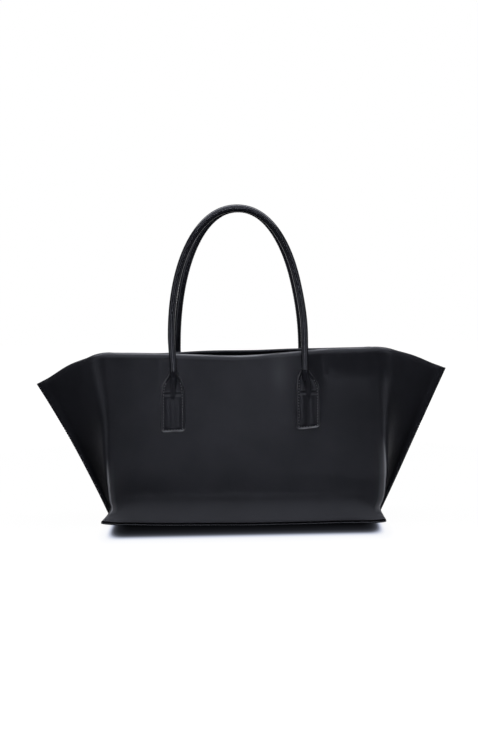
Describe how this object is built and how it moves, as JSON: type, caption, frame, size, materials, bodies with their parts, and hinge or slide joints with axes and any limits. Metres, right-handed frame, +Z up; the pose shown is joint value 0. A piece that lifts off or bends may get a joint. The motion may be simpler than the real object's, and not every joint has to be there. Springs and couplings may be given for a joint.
{
  "type": "tote bag",
  "caption": "Open-topped leather tote with side wings, a flat stiffened base and rolled handles that stand up from stitched tabs and fold down over the walls.",
  "frame": {"origin": "centre of the base's underside, on the floor", "axes": "+X to the right along the bag's length as seen from its front, +Y to the back, +Z up"},
  "size_m": [0.506, 0.15, 0.3837],
  "materials": {
    "body_leather": "satin smooth black",
    "handle_leather": "satin smooth black",
    "lining_cloth": "matt black twill",
    "floor_board": "matt fibre board",
    "handle_cord": "matt cotton cord"
  },
  "bodies": {
    "bag": {"front_panel": "body_leather", "back_panel": "body_leather", "front_facing": "body_leather", "back_facing": "body_leather", "base_panel": "body_leather", "front_left_patch": "body_leather", "front_right_patch": "body_leather", "back_left_patch": "body_leather", "back_right_patch": "body_leather", "front_left_tab": "handle_leather", "front_right_tab": "handle_leather", "back_left_tab": "handle_leather", "back_right_tab": "handle_leather", "front_lining": "lining_cloth", "back_lining": "lining_cloth", "base_lining": "lining_cloth", "base_board": "floor_board"},
    "front_handle": {"front_handle_cover": "handle_leather", "front_handle_core": "handle_cord"},
    "back_handle": {"back_handle_cover": "handle_leather", "back_handle_core": "handle_cord"}
  },
  "joints": [
    {"name": "front_handle_swing", "type": "hinge", "parent": "bag", "child": "front_handle", "pos_m": [0, -0.0627, 0.17884], "axis": [1, 0, 0], "range_deg": [0, 140]},
    {"name": "back_handle_swing", "type": "hinge", "parent": "bag", "child": "back_handle", "pos_m": [0, 0.0627, 0.17884], "axis": [-1, 0, 0], "range_deg": [0, 140]}
  ]
}
